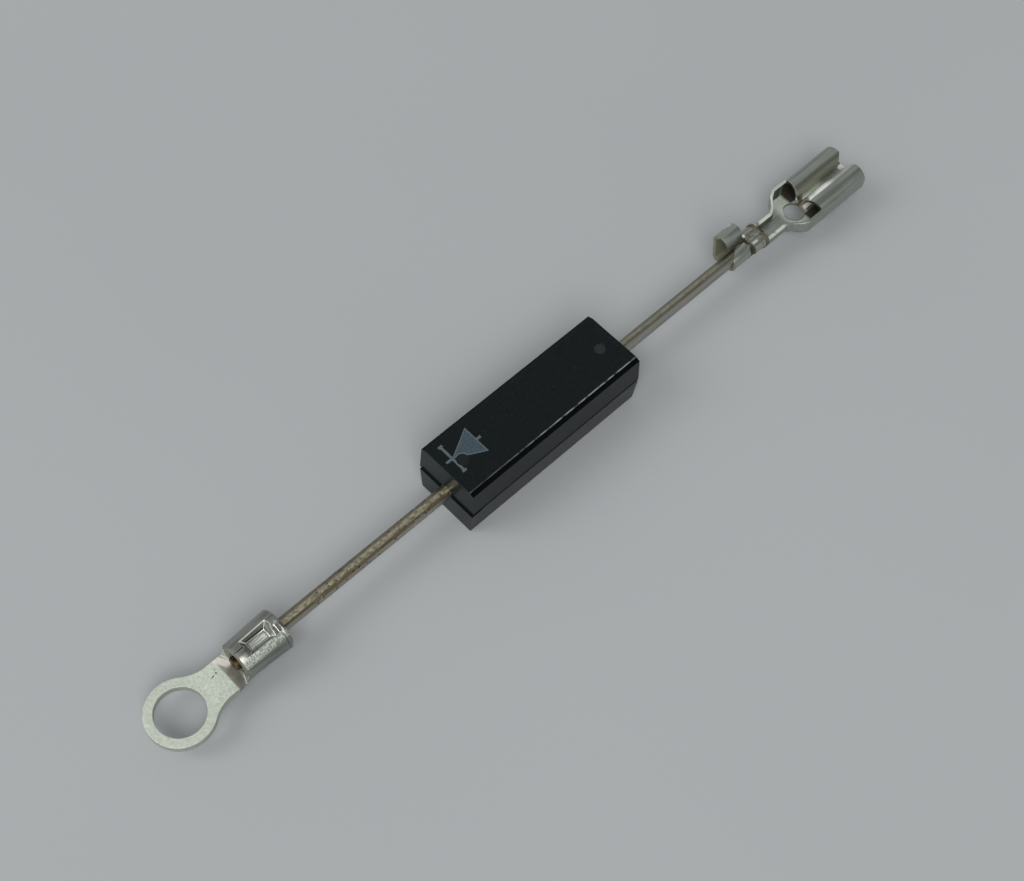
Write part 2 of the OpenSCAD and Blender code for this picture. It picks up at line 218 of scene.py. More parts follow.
class MouldingSettings(bpy.types.PropertyGroup):
    """The moulded block and its printed mark."""
    edge: FloatProperty(name="Edge", description="Rounding of the block's edges", default=0.035 * MM,
                        subtype="DISTANCE", unit="LENGTH")
    ledge_edge: FloatProperty(name="Ledge Edge", description="Rounding where the two mould halves meet",
                              default=0.025 * MM, subtype="DISTANCE", unit="LENGTH")
    ledge: FloatProperty(name="Ledge", description="Offset of the two mould halves on the near side",
                         default=0.2 * MM, subtype="DISTANCE", unit="LENGTH")
    ledge_left: FloatProperty(name="Ledge Left", description="Part of that offset that still shows",
                              default=0.085 * MM, subtype="DISTANCE", unit="LENGTH")
    epoxy: FloatVectorProperty(name="Epoxy", description="Colour of the moulding compound",
                               default=(0.0022, 0.0043, 0.0049), subtype="COLOR")
    filler: FloatVectorProperty(name="Filler", description="Colour of the filler grains that show",
                                default=(0.011, 0.017, 0.018), subtype="COLOR")
    dust: FloatVectorProperty(name="Dust", description="Colour of the specks of dust on the top",
                              default=(0.030, 0.036, 0.038), subtype="COLOR")
    pin: FloatVectorProperty(name="Pin Mark", description="Colour of the dull pin marks",
                             default=(0.019, 0.024, 0.025), subtype="COLOR")
    ink: FloatVectorProperty(name="Ink", description="Colour of the printed mark",
                             default=(0.060, 0.089, 0.106), subtype="COLOR")
    ink_edge: FloatVectorProperty(name="Ink Edge", description="Colour of the printed mark's outline",
                                  default=(0.135, 0.165, 0.178), subtype="COLOR")
    # The colour painted on the parting ledge is painted light: it stands in for the floor's reflection that
    # the block's sides show
    painted_ledge_light: FloatVectorProperty(name="Flash", description="Colour of the dull flash on the parting line",
                               default=(0.052, 0.054, 0.056), subtype="COLOR")
    # Colour of a light broken line along the top's near edge: wear of the edge and a painted highlight of it
    scuff_and_highlight: FloatVectorProperty(name="Scuff", description="Colour of the worn edge of the top",
                               default=(0.21, 0.23, 0.235), subtype="COLOR")
    # The worn edge placed here also carries the painted highlight of the top's edge
    crest: FloatProperty(name="Worn Edge",
                         description="Distance of the top's worn edge from the lead's line",
                         default=2.87 * MM, subtype="DISTANCE", unit="LENGTH")
    gloss: FloatProperty(name="Roughness", description="Roughness of the glossy sides", default=0.16,
                         min=0.0, max=1.0, subtype="FACTOR")
    top_dull: FloatProperty(name="Duller Top", description="Roughness that the top has beyond the sides",
                            default=0.15, min=0.0, max=1.0, subtype="FACTOR")
    pin_x: FloatProperty(name="Pin Mark Reach", description="Distance of the pin marks from their middle",
                         default=8.95 * MM, subtype="DISTANCE", unit="LENGTH")
    pin_shift: FloatVectorProperty(name="Pin Mark Middle", description="Middle of the two pin marks", size=2,
                                   default=(0.09 * MM, 0.1 * MM), subtype="XYZ", unit="LENGTH")
    pin_radius: FloatProperty(name="Pin Mark Radius", description="Radius of the pin marks",
                              default=0.6 * MM, subtype="DISTANCE", unit="LENGTH")
    mark_x: FloatProperty(name="Mark Bar", description="Distance of the mark's bar from the block's centre",
                          default=-9.5 * MM, subtype="DISTANCE", unit="LENGTH")
    mark_y: FloatProperty(name="Mark Middle", description="Sideways place of the mark's middle line",
                          default=0.8 * MM, subtype="DISTANCE", unit="LENGTH")
    mark_length: FloatProperty(name="Mark Length", description="Length of the mark's triangle",
                               default=3.05 * MM, subtype="DISTANCE", unit="LENGTH")
    mark_height: FloatProperty(name="Mark Height", description="Height of the mark's triangle and bar",
                               default=3.25 * MM, subtype="DISTANCE", unit="LENGTH")
    mark_line: FloatProperty(name="Mark Line", description="Width of the mark's thin lines",
                             default=0.24 * MM, subtype="DISTANCE", unit="LENGTH")


class LeadSettings(bpy.types.PropertyGroup):
    """The two tinned leads."""
    cathode: FloatVectorProperty(name="Cathode Tin", description="Colour of the lead at the ring terminal",
                                 default=(0.33, 0.305, 0.222), subtype="COLOR")
    anode: FloatVectorProperty(name="Anode Tin", description="Colour of the lead at the receptacle",
                               default=(0.31, 0.305, 0.24), subtype="COLOR")
    tarnish: FloatVectorProperty(name="Tarnish", description="Colour of the dark streaks and pits",
                                 default=(0.034, 0.025, 0.014), subtype="COLOR")
    scorch: FloatVectorProperty(name="Scorch", description="Colour of the leads beside their sheared ends",
                                default=(0.15, 0.105, 0.055), subtype="COLOR")
    copper: FloatVectorProperty(name="Copper", description="Colour of the sheared copper ends",
                                default=(0.055, 0.033, 0.013), subtype="COLOR")


class PlateSettings(bpy.types.PropertyGroup):
    """The two plated terminals."""
    ring_edge: FloatProperty(name="Ring Edge", description="Rounding of the punched edges of the ring",
                             default=0.05 * MM, subtype="DISTANCE", unit="LENGTH")
    sheet_edge: FloatProperty(name="Sheet Edge", description="Rounding of the edges of the sheet",
                              default=0.03 * MM, subtype="DISTANCE", unit="LENGTH")
    barrel: FloatProperty(name="Barrel Length", description="Length of the ring terminal's crimped barrel",
                          default=4.9 * MM, subtype="DISTANCE", unit="LENGTH")
    scoop: FloatProperty(name="Scoop Length", description="Length of the scoop between barrel and ring",
                         default=1.3 * MM, subtype="DISTANCE", unit="LENGTH")
    pocket_from: FloatProperty(name="Pocket Start",
                               description="Distance of the crimp pocket from the mouth",
                               default=0.9 * MM, subtype="DISTANCE", unit="LENGTH")
    pocket_to: FloatProperty(name="Pocket End", description="Distance of the die mark from the lead end",
                             default=0.3 * MM, subtype="DISTANCE", unit="LENGTH")
    pocket_floor: FloatProperty(name="Pocket Floor",
                                description="Height above the lead's line where pockets start",
                                default=1.1 * MM, subtype="DISTANCE", unit="LENGTH")
    pocket_rim: FloatProperty(name="Pocket Rim",
                              description="Distance from the lead's line where pockets end",
                              default=1.86 * MM, subtype="DISTANCE", unit="LENGTH")
    barrel_swell: FloatProperty(name="Barrel Swell", description="Widening of the barrel to its lead end",
                                default=0.2 * MM, subtype="DISTANCE", unit="LENGTH")
    pocket_edge: FloatProperty(name="Pocket Edge", description="Rounding of the edges of the crimp pocket",
                               default=0.03 * MM, subtype="DISTANCE", unit="LENGTH")
    pocket_face: FloatProperty(name="Pocket Face",
                               description="Smallest face of the crimp pocket that isn't an edge",
                               default=0.09 * MM ** 2, unit="AREA")
    panel_face: FloatProperty(name="Panel Face", description="Smallest face that a panel is sunk into",
                              default=0.16 * MM ** 2, unit="AREA")
    panel_margin: FloatProperty(name="Panel Margin",
                                description="Border of the sunk panel in the crimp pocket",
                                default=0.16 * MM, subtype="DISTANCE", unit="LENGTH")
    panel_deep: FloatProperty(name="Panel Depth", description="Depth of the sunk panel in the crimp pocket",
                              default=0.06 * MM, subtype="DISTANCE", unit="LENGTH")
    crimp: FloatVectorProperty(name="Crimp Front", description="Point on the front edge of the wire crimp",
                               default=(32.3 * MM, 0.0, 3.2 * MM), subtype="TRANSLATION", unit="LENGTH")
    plain: FloatVectorProperty(name="Plain Edges",
                               description="Where the tight folds of crimp and neck start and end",
                               size=2, default=(30.0 * MM, 35.6 * MM), subtype="XYZ", unit="LENGTH")
    curl: FloatVectorProperty(name="Curl", description="Middle of the curled insulation wing",
                              default=(29.0 * MM, 1.2 * MM, 3.9 * MM), subtype="TRANSLATION", unit="LENGTH")
    roll: FloatVectorProperty(name="Roll", description="Middle of one of the socket's rolled sides",
                              default=(42.8 * MM, 1.5 * MM, 3.5 * MM), subtype="TRANSLATION", unit="LENGTH")
    socket: FloatVectorProperty(name="Socket",
                                description="Where the rolled sides of the receptacle start and end",
                                size=2, default=(39.55 * MM, 46.05 * MM), subtype="XYZ", unit="LENGTH")
    roll_tip: FloatVectorProperty(name="Roll Tip",
                                  description="Reach and height of the lower edges of the rolled sides",
                                  size=2, default=(0.62 * MM, 3.35 * MM), subtype="XYZ", unit="LENGTH")
    roll_close: FloatProperty(name="Roll Closing",
                              description="How far each of those edges leans to the other",
                              default=0.12 * MM, subtype="DISTANCE", unit="LENGTH")
    ring: FloatVectorProperty(name="Ring Plate", description="Colour of the ring terminal's plating",
                              default=(0.75, 0.82, 0.705), subtype="COLOR")
    cut: FloatVectorProperty(name="Ring Cut", description="Colour of the punched edges of the ring",
                             default=(0.40, 0.41, 0.36), subtype="COLOR")
    barrel_plate: FloatVectorProperty(name="Barrel Plate", description="Colour of the crimped barrel",
                                      default=(0.36, 0.375, 0.335), subtype="COLOR")
    receptacle: FloatVectorProperty(name="Receptacle Plate",
                                    description="Colour of the receptacle's plating",
                                    default=(0.44, 0.475, 0.42), subtype="COLOR")
    brass: FloatVectorProperty(name="Brass", description="Colour of the bare sheared edges",
                               default=(0.225, 0.17, 0.10), subtype="COLOR")
    stain: FloatVectorProperty(name="Stain", description="Colour of the stain at the crimps",
                               default=(0.13, 0.085, 0.04), subtype="COLOR")
    # This colour gives real burnish and scratches, and also the painted highlights and glints on both
    # terminals
    burnish_and_highlight: FloatVectorProperty(name="Shine", description="Colour of burnished plating",
                               default=(0.88, 0.90, 0.84), subtype="COLOR")
    olive: FloatVectorProperty(name="Dull Olive", description="Colour of the receptacle's dull hidden skin",
                               default=(0.23, 0.225, 0.15), subtype="COLOR")
    # This colour paints shade in the receptacle's hollows, the pocket's crease and a groove line of the ring,
    # and marks the tongue's dents; it is partly dirt
    shade_and_grime: FloatVectorProperty(name="Grime", description="Colour of the dirt in the receptacle's hollows",
                               default=(0.022, 0.018, 0.011), subtype="COLOR")
    # The pale patch is a painted highlight: the reflection on the scoop's far wall
    pale_highlight: FloatVectorProperty(name="Bloom", description="Colour of the pale patch at the barrel's mouth",
                               default=(0.86, 0.79, 0.72), subtype="COLOR")


class StageSettings(bpy.types.PropertyGroup):
    """The floor, the light and the camera."""
    floor: FloatVectorProperty(name="Floor", description="Colour of the floor", default=(0.385, 0.40, 0.407),
                               subtype="COLOR")
    floor_size: FloatProperty(name="Floor Size", description="Length and width of the floor", default=12.0,
                              subtype="DISTANCE", unit="LENGTH")
    room: FloatVectorProperty(name="Room", description="Light of the room overhead",
                              default=(0.42, 0.425, 0.43), subtype="COLOR")
    horizon: FloatVectorProperty(name="Horizon", description="Light of the room near the horizon",
                                 default=(0.36, 0.362, 0.365), subtype="COLOR")
    shade: FloatVectorProperty(name="Shade", description="Light of the dim patch overhead",
                               default=(0.13, 0.13, 0.13), subtype="COLOR")
    shade_way: FloatVectorProperty(name="Shade Way", description="Direction of the dim patch overhead",
                                   default=(0.37, -0.30, 0.88), subtype="DIRECTION")
    key: FloatVectorProperty(name="Key", description="Place of the soft lamp on the camera's side",
                             default=(-0.9, -0.9, 1.44), subtype="TRANSLATION", unit="LENGTH")
    fill: FloatVectorProperty(name="Fill", description="Place of the soft lamp at the ring's end",
                              default=(-1.35, 0.9, 1.35), subtype="TRANSLATION", unit="LENGTH")
    lamp_size: FloatProperty(name="Lamp Size", description="Length and width of the two soft lamps",
                             default=1.2, subtype="DISTANCE", unit="LENGTH")
    key_power: FloatProperty(name="Key Power", description="Power of the lamp on the camera's side",
                             default=22.5, unit="POWER")
    fill_power: FloatProperty(name="Fill Power", description="Power of the lamp at the ring's end",
                              default=15.75, unit="POWER")
    azimuth: FloatProperty(name="Azimuth", description="Camera's angle round the object",
                           default=math.radians(-48.55), subtype="ANGLE", unit="ROTATION")
    elevation: FloatProperty(name="Elevation", description="Camera's angle above the floor",
                             default=math.radians(60.15), subtype="ANGLE", unit="ROTATION")
    roll: FloatProperty(name="Roll", description="Camera's turn about its own line of sight",
                        default=math.radians(5.28), subtype="ANGLE", unit="ROTATION")
    distance: FloatProperty(name="Distance", description="Distance from the camera to its target",
                            default=164.14 * MM, subtype="DISTANCE", unit="LENGTH")
    target: FloatVectorProperty(name="Target", description="Point that the camera looks at",
                                default=(-1.31 * MM, 1.0 * MM, 0.0), subtype="TRANSLATION", unit="LENGTH")
    lens: FloatProperty(name="Lens", description="Focal length of the camera", default=59.77,
                        subtype="DISTANCE_CAMERA")


def pick(piece):
    """Selects one object alone and makes it the active one."""
    bpy.ops.object.select_all(action="DESELECT")
    piece.select_set(True)
    bpy.context.view_layer.objects.active = piece


def open_piece(piece, kind, wanted):
    """Opens a piece in edit mode with its wanted points, edges or faces selected."""
    pick(piece)
    bpy.ops.object.mode_set(mode="EDIT")
    bpy.ops.mesh.select_mode(type=kind)
    bpy.ops.mesh.select_all(action="DESELECT")
    mesh = bmesh.from_edit_mesh(piece.data)
    for element in {"VERT": mesh.verts, "EDGE": mesh.edges, "FACE": mesh.faces}[kind]:
        element.select = wanted(element)
    bmesh.update_edit_mesh(piece.data)


def welded_copy(node, name):
    """A copy that stands for a CAD node, with its triangles welded and its flat faces whole."""
    pick(frame["nodes"][node])
    bpy.ops.object.duplicate()
    piece = bpy.context.object
    piece.name = name
    piece.data.name = name
    del piece["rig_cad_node"]
    bpy.ops.object.parent_clear(type="CLEAR_KEEP_TRANSFORM")
    bpy.ops.mesh.customdata_custom_splitnormals_clear()
    bpy.ops.object.mode_set(mode="EDIT")
    bpy.ops.mesh.select_all(action="SELECT")
    bpy.ops.mesh.remove_doubles(threshold=WELD)
    bpy.ops.mesh.dissolve_limited(angle_limit=FLAT_ANGLE)
    bpy.ops.mesh.select_all(action="SELECT")
    bpy.ops.mesh.dissolve_degenerate(threshold=SHORT)
    bpy.ops.object.mode_set(mode="OBJECT")
    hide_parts(node)
    return piece


def round_edges(piece, width, segments, sharp, wanted):
    """Bevels the edges that turn by more than sharp degrees and whose two ends are both wanted."""
    def is_sharp(edge):
        return edge.calc_face_angle(0.0) > math.radians(sharp) and all(wanted(v.co) for v in edge.verts)

    open_piece(piece, "EDGE", is_sharp)
    bpy.ops.mesh.bevel(offset=width, segments=segments)
    bpy.ops.mesh.select_all(action="SELECT")
    bpy.ops.mesh.remove_doubles(threshold=WELD)
    bpy.ops.object.mode_set(mode="OBJECT")


def shift_points(piece, move, wanted):
    """Moves the wanted points of a piece."""
    open_piece(piece, "VERT", lambda point: wanted(point.co))
    bpy.ops.transform.translate(value=move)
    bpy.ops.object.mode_set(mode="OBJECT")


def press_panel(piece, margin, deep, wanted):
    """Sinks a panel into each wanted face, inside a border of the given margin."""
    open_piece(piece, "FACE", wanted)
    bpy.ops.mesh.inset(thickness=margin, depth=-deep)
    bpy.ops.object.mode_set(mode="OBJECT")


def finish_piece(piece, material, smooth):
    """Smooths a piece up to the given angle, keeps its flat faces flat, and gives it its material."""
    pick(piece)
    bpy.ops.object.shade_smooth_by_angle(angle=math.radians(smooth))
    bpy.ops.object.modifier_add(type="WEIGHTED_NORMAL")
    piece.modifiers[-1].keep_sharp = True
    bpy.ops.object.modifier_apply(modifier=piece.modifiers[-1].name)
    piece.data.materials.clear()
    piece.data.materials.append(material)
    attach(piece, BODY)


def mark_faces(piece, name, wanted):
    """Gives a piece an attribute that is 1 on the wanted faces and 0 on the others."""
    marks = piece.data.attributes.new(name, "FLOAT", "FACE")
    for face in piece.data.polygons:
        marks.data[face.index].value = 1.0 if wanted(face) else 0.0


def scaled(colour, factor):
    """A colour made lighter or darker."""
    return tuple(c * factor for c in colour)


def epoxy_finish(s):
    """Black moulding compound: glossy sides, and a duller top with pin marks and a polarity mark, with
    painted shade on the chamfers, painted light on the near parting ledge and a painted highlight with wear
    along the top's near edge.
    """
    f = Finish("moulded_epoxy")
    top = BODY_HIGH.z / MM
    lumps = f.noise(2.2, detail=4.0)
    grain = f.noise(11.0, shift=3.0)
    dust = f.dots(2.6, 0.13, shift=4.0) * f.noise(0.9, shift=7.0).ramp(0.40, 0.6)
    # The chamfer band along the top's long edges, which gets painted shade below
    shaded_chamfer = f.z.ramp(top - 0.27, top - 0.24) * f.z.ramp(top - 0.01, top - 0.03) * abs(f.y).ramp(2.6, 2.8)
    on_top = f.z.ramp(top - 0.12, top - 0.1) * (1.0 - shaded_chamfer)
    skin = f.blend(grain.ramp(0.35, 0.75) * 0.5, s.epoxy, s.filler)
    skin = f.blend(dust * on_top, skin, s.dust)

    bar_x, middle = s.mark_x / MM, s.mark_y / MM
    length, half, line = s.mark_length / MM, s.mark_height / MM / 2, s.mark_line / MM / 2
    from_bar = f.x - bar_x
    off_line = abs(f.y - middle)
    triangle = (off_line - from_bar * (half / length)).over(from_bar - length)
    bar = (abs(from_bar) - line).over(off_line - half)
    serif = (abs(from_bar) - 1.9 * line).over(abs(off_line - half) - line)
    stub = (off_line - line).over(abs(from_bar - length / 2 + line) - length / 2 - 5 * line)
    from_pin = f.reach(abs(f.x - s.pin_shift[0] / MM) - s.pin_x / MM, f.y - s.pin_shift[1] / MM)
    radius = s.pin_radius / MM
    pin = from_pin.ramp(radius, radius - 0.06) * on_top
    shape = triangle.under(bar).under(serif).under(stub).over(radius + 0.02 - from_pin)
    ragged = shape + (f.noise(9.0, shift=11.0) - 0.5) * 0.09
    printed = ragged.ramp(0.04, -0.04) * f.z.ramp(top - 0.05, top - 0.02)
    worn = 0.6 + 0.35 * f.noise(7.0, detail=3.0, shift=5.0).ramp(0.3, 0.7)
    outline = printed * shape.ramp(-0.14, -0.05)
    # A light broken line along the top's near edge, brighter towards the receptacle: partly wear, partly
    # painted highlight
    crest = abs(f.y + s.crest / MM).ramp(0.085, 0.03) * f.z.ramp(top - 0.05, top - 0.02)
    lit_scuff_line = crest * f.noise(1.6, (0.6, 1, 1), detail=4.0, shift=31.0).ramp(0.3, 0.56)
    lit_scuff_line = lit_scuff_line * (0.3 + 0.7 * f.x.ramp(-7.0, 1.0))
    near_ledge = BODY_LOW.y / MM
    ledge_end = near_ledge + s.ledge_left / MM
    # Painted light on the near ledge of the parting line, as bright as the sides' reflection
    ledge = abs(f.z - AXIS_Z / MM).ramp(0.04, 0.03) * f.y.ramp(ledge_end, ledge_end - 0.03)
    ledge = ledge * f.x.ramp(-10.2, -9.2)
    base = f.blend(printed * worn, f.blend(pin * (0.3 + 0.6 * f.x.ramp(-1.0, 1.0)), skin, s.pin), s.ink)
    base = f.blend(outline * 0.6, base, s.ink_edge)
    # Painted shade: the chamfers are darkened towards black, standing in for the dark room they mirror
    base = f.blend(shaded_chamfer * 0.8, base, (0.0, 0.0, 0.0))
    base = f.blend(lit_scuff_line, base, s.scuff_and_highlight)
    base = f.blend(ledge, base, s.painted_ledge_light)
    rough = s.gloss + on_top * s.top_dull + lumps * 0.08 + grain * 0.06 + printed * 0.15 + pin * 0.3
    bumps = f.bump(grain + dust * 0.6, 0.005)
    return f.surface(Base_Color=base, Roughness=rough, Normal=f.bump(lumps, 0.008, bumps),
                     Specular_IOR_Level=0.17)


# Stretch beside the block where the cathode lead is pitted most, in millimetres from the part's origin
PITTED_FROM, PITTED_FULLY = -18.0, -14.0


def lead_finish(name, tin, s, end_x, wear, crown):
    """Drawn tinned wire: a painted highlight along the crown, painted shade on the far side, a painted floor
    reflection on the near side, a tarnished groove beside the crown, die lines, pits and bright nicks.
    """
    f = Finish(name)
    middle, half = crown
    drawn = f.noise(1.6, (0.1, 3.0, 3.0), detail=4.0)
    fine = f.noise(5.0, (0.14, 3.0, 3.0), detail=3.0, shift=4.0)
    speckle = f.noise(5.0, (0.5, 1, 1), detail=4.0, shift=8.0)
    patchy = f.noise(0.45, (0.7, 1.4, 1.4), detail=3.0, shift=14.0)
    cloud = f.noise(0.4, detail=3.0, shift=9.0)
    mottle = f.noise(2.4, (0.5, 1, 1), detail=3.0, shift=19.0)
    by_block = f.x.ramp(PITTED_FROM, PITTED_FULLY) * f.x.ramp(0.0, -1.0)
    pits = f.dots(2.6, 0.32, (0.6, 1, 1), 2.0) * f.noise(0.35, shift=2.0).ramp(0.44, 0.56).over(by_block)
    nicks = f.dots(2.4, 0.22, (0.5, 1, 1), 6.0) * f.noise(0.5, shift=5.0).ramp(0.46, 0.58).over(by_block)
    crown_highlight = abs(f.y - middle).ramp(half + 0.12, half - 0.04) * (0.15 + 0.85 * speckle.ramp(0.4, 0.58))
    beside = middle - half
    groove = abs(f.y - beside + 0.15).ramp(0.14, 0.03) * patchy.ramp(0.46, 0.58)
    brown = abs(f.y - beside + 0.14).ramp(0.22, 0.1) * patchy.ramp(0.62, 0.42)
    dark = (drawn.ramp(0.52, 0.66) * 0.3 + (groove * 0.95 + pits * 0.9) * wear).under(1.0)

    floor_reflection_tin = tuple(c * 0.6 + sum(tin) * 0.24 for c in tin)
    base = f.blend(cloud.ramp(0.35, 0.7) * 0.4, tin, scaled(tin, 1.2))
    # Painted shade on the lead's far side
    base = f.blend(f.y.ramp(middle + half + 0.1, middle + half + 0.25), base, scaled(tin, 0.78))
    # Painted reflection of the floor on the lead's near side
    base = f.blend(f.y.ramp(beside - 0.24, beside - 0.36), base, floor_reflection_tin)
    mottled = mottle.ramp(0.42, 0.62) * f.y.ramp(beside - 0.3, beside) * wear * 0.5
    base = f.blend(mottled, base, scaled(tin, 0.5))
    # Painted highlight along the lead's crown
    base = f.blend(crown_highlight, base, scaled(tin, 1.25 + 0.7 * wear))
    base = f.blend(brown * wear * 0.75, base, s.scorch)
    base = f.blend(nicks * wear, base, scaled(tin, 2.2))
    base = f.blend(dark * 0.85, base, s.tarnish)
    from_end = abs(f.x - end_x / MM)
    base = f.blend(from_end.ramp(0.6, 0.4), base, f.blend(f.y.ramp(0.0, -0.4), s.copper, s.scorch))
    rough = 0.27 + fine * 0.2 + dark * 0.2
    bumps = f.bump(drawn + fine * 0.6 - pits * wear * 1.4, 0.016)
    return f.surface(Base_Color=base, Roughness=rough, Metallic=1.0 - dark * 0.3, Normal=bumps)


# Edges and crease of the crimp pocket, marks of the ring terminal, and places of its painted highlight and
# shade lines, in millimetres from the part's origin
POCKET_RIM = ((-34.85, 0.63), (-32.0, 0.70))
POCKET_CORNER = ((-34.85, 0.63), (-34.5, 0.36))
POCKET_CREASE = ((-34.4, 0.37), (-32.45, 0.37))
POCKET_Z = (4.2, 4.3)
TONGUE_DENTS = ((-37.56, 1.02), (-37.67, 0.69)), ((-38.01, 0.64), (-38.29, 0.58))
TONGUE_SCRATCH = ((-38.76, 0.5), (-39.31, 0.22))
TONGUE_Z = (2.2, 2.3)
FROST_Y = -1.3
FROST_Z = (3.8, 4.2)
END_MARGIN = 0.5


def ring_finish(s, cut_name, pressed_name, floor_name):
    """Bright grainy tin plate: darker cut edges, a smoother barrel, and the wear of the crimped wire, with
    painted glints and highlights on the grain, the pocket and the scoop's far wall, and painted shade in the
    pocket's crease, round the barrel near the lead end and on the scoop's near side.
    """
    f = Finish("ring_tin_plate")
    barrel_x = (RING_HIGH.x - s.barrel) / MM
    scoop_x = barrel_x - s.scoop / MM
    cloud = f.noise(0.45, detail=3.0)
    grain = f.noise(4.2, detail=4.0, shift=2.0)
    flakes = f.noise(2.4, detail=1.0, shift=7.0)
    sugar = f.noise(6.5, detail=2.0, shift=23.0)
    sparkle = f.dots(3.2, 0.32, shift=3.0) * f.noise(1.3, shift=9.0).ramp(0.48, 0.58)
    pits = f.dots(2.6, 0.14, shift=5.0) * f.noise(1.1, shift=6.0).ramp(0.47, 0.62)
    rolled = f.noise(1.6, (0.12, 2.2, 2.2), detail=3.0, shift=15.0)
    formed = f.x.ramp(scoop_x + 0.02, scoop_x + 0.3)
    on_barrel = f.x.ramp(barrel_x - 0.1, barrel_x + 0.1)
    cut = f.mark(cut_name)
    pressed = f.mark(pressed_name)
    pocket = f.mark(floor_name)
    brushed = f.noise(2.6, (0.25, 1.5, 1.0), detail=2.0, shift=27.0)
    mouth_rim = abs(f.x - barrel_x).ramp(0.09, 0.05)

    dull = scaled(s.ring, 0.7)
    base = f.blend(cloud.ramp(0.3, 0.7) * 0.25 + grain.ramp(0.34, 0.74) * 0.75, s.ring, dull)
    # Painted glints: sparkles of the plate's grain
    base = f.blend(sparkle * 0.8, base, s.burnish_and_highlight)
    base = f.blend(pits * 0.7, base, s.stain)
    base = f.blend(f.x.ramp(scoop_x - 1.5, scoop_x - 3.0) * 0.3, base, dull)
    base = f.blend(cut * 0.85, base, s.cut)
    streaked = f.blend(rolled.ramp(0.42, 0.66), s.barrel_plate, scaled(s.barrel_plate, 0.6))
    frost_band = abs(f.y - FROST_Y).ramp(0.42, 0.25) * f.z.ramp(*FROST_Z) * on_barrel
    frosted = frost_band * (0.25 + 0.75 * sugar.ramp(0.4, 0.62))
    streaked = f.blend(frosted * 0.8, streaked, s.ring)
    # Painted highlight on the small edge faces of the crimp pocket
    streaked = f.blend(pressed * (0.6 + 0.4 * rolled.ramp(0.6, 0.45)), streaked, s.burnish_and_highlight)
    # The pocket floor gets the receptacle's tone and bright brushed streaks that are partly painted highlight
    streaked = f.blend(pocket * 0.7, streaked, s.receptacle)
    streaked = f.blend(pocket * (0.2 + 0.8 * brushed.ramp(0.42, 0.5)), streaked, s.burnish_and_highlight)
    up_high = f.z.ramp(*POCKET_Z)
    # Painted highlights along the pocket's rim and corner
    painted_highlights = f.scratch(*POCKET_RIM, 0.075).over(f.scratch(*POCKET_CORNER, 0.08)) * up_high
    streaked = f.blend(painted_highlights * 0.8, streaked, s.burnish_and_highlight)
    # Painted shade in the pocket's crease
    streaked = f.blend(f.scratch(*POCKET_CREASE, 0.05) * up_high * 0.8, streaked, s.shade_and_grime)
    base = f.blend(formed, base, streaked)
    # Painted shade: a thin dark line round the barrel near the lead end, standing for a groove's shade
    groove_shade_line = abs(f.x - RING_HIGH.x / MM + END_MARGIN).ramp(0.07, 0.03) * f.y.ramp(0.0, -0.6)
    base = f.blend(groove_shade_line * 0.5, base, s.shade_and_grime)

    # A brown stain by the lead end that also stands in for the lead end's shadow on the plate
    lead_end = f.away((CATHODE_LOW.x / MM - 0.1, 0.0, AXIS_Z / MM - 0.4))
    stain_and_shadow = (lead_end + (f.noise(1.4, shift=12.0) - 0.5) * 0.5).ramp(0.95, 0.6)
    # Painted highlight: the pale reflection on the scoop's far wall by the mouth
    pale_highlight = f.scratch((scoop_x + 0.36, 1.68), (scoop_x + 0.8, 0.84), 0.55) * (1.0 - on_barrel)
    base = f.blend(pale_highlight * 0.8, base, s.pale_highlight)
    in_scoop = formed * (1.0 - on_barrel)
    base = f.blend(in_scoop * (1.0 - pale_highlight), base, s.cut)
    # Painted shade on the near side of the scoop
    base = f.blend(in_scoop * f.y.ramp(-0.2, -0.9), base, scaled(s.cut, 0.6))
    base = f.blend(mouth_rim, base, scaled(s.cut, 0.45))
    base = f.blend(stain_and_shadow * 0.5, base, s.stain)
    plate_top = f.z.ramp(*TONGUE_Z)
    broken = f.noise(5.0, shift=1.0).ramp(0.42, 0.5)
    dents = f.scratch(*TONGUE_DENTS[0], 0.08).over(f.scratch(*TONGUE_DENTS[1], 0.07))
    # Dark marks along two dents of the tongue
    base = f.blend(dents * broken * plate_top, base, s.shade_and_grime)
    base = f.blend(f.scratch(*TONGUE_SCRATCH, 0.06) * plate_top, base, s.burnish_and_highlight)
    rough = 0.36 + cloud * 0.08 + grain * 0.12 + stain_and_shadow * 0.15 - formed * 0.14
    rough = rough + frosted * 0.2 - sparkle * 0.1 + mouth_rim * 0.2
    metal = 0.55 + on_barrel * 0.45 + sparkle * 0.2 - pressed * 0.3 - frosted * 0.3 - pale_highlight * 0.4
    metal = metal - mouth_rim * 0.4 - pocket * 0.3 - painted_highlights * 0.5
    lumpy = 1.0 - formed * 0.7
    bumps = f.bump((grain * 0.7 + flakes * 0.9 - pits * 0.6) * lumpy + rolled * formed * 0.3, 0.035)
    return f.surface(Base_Color=base, Roughness=rough, Metallic=metal, Normal=bumps)


# Places of painted highlights on the receptacle, and the middle of its peep hole, in millimetres from the
# part's origin
CURL_HIGHLIGHT = (29.72, 2.08, 5.0)
CRIMP_GLINT = (30.6, 0.65, 4.4)
CRIMP_CROWN = (31.0, -0.66)
ROLL_TIP = (38.75, 0.5, 3.4)
PEEP_HOLE = (38.2, 0.0)


